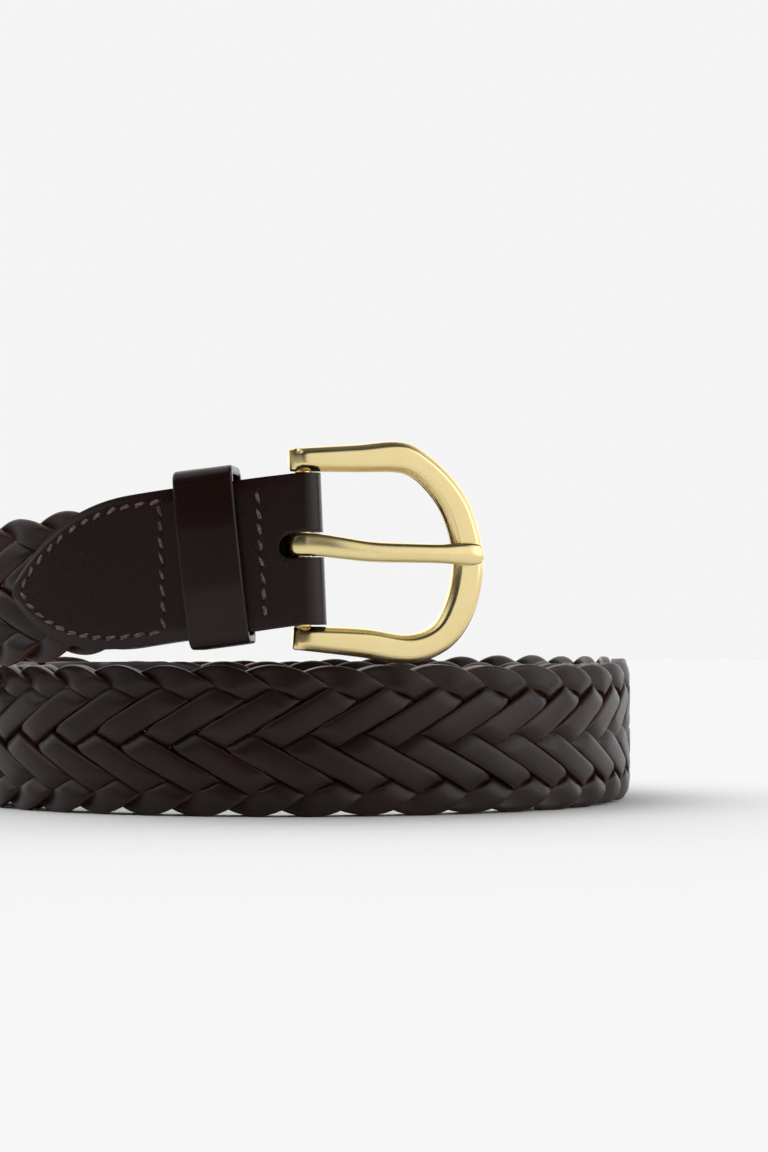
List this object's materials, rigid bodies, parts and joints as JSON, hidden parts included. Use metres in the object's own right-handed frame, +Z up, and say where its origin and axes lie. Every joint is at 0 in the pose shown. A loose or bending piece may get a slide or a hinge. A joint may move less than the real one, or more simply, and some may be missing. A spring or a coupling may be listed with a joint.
{
  "type": "braided leather belt",
  "caption": "Braided leather belt coiled on its edge, with a stitched buckle tab, a keeper loop, a horseshoe brass frame and a prong.",
  "frame": {"origin": "on the ground under the middle of the coiled belt's box", "axes": "+Z up along the coil's axis, +X to the right towards the buckle's far side, -Y towards the viewer"},
  "size_m": [0.1722, 0.157, 0.0746],
  "materials": {
    "braid_leather": "smooth waxed",
    "tab_leather": "smooth semi-matte",
    "buckle_brass": "satin",
    "thread": "waxed thread"
  },
  "bodies": {
    "strap": {"braid_band": "braid_leather", "buckle_tab": "tab_leather", "keeper_loop": "tab_leather", "leather_tip": "tab_leather"},
    "frame": {"buckle_frame": "buckle_brass"},
    "prong": {"prong": "buckle_brass"}
  },
  "joints": [
    {"name": "frame_swivel", "type": "hinge", "parent": "strap", "child": "frame", "pos_m": [0.01527, -0.07213, 0.05296], "axis": [0, 0, 1], "range_deg": [-25, 30]},
    {"name": "prong_pivot", "type": "hinge", "parent": "frame", "child": "prong", "pos_m": [0.01527, -0.07213, 0.05296], "axis": [0, 0, 1], "range_deg": [-75, 0]}
  ]
}
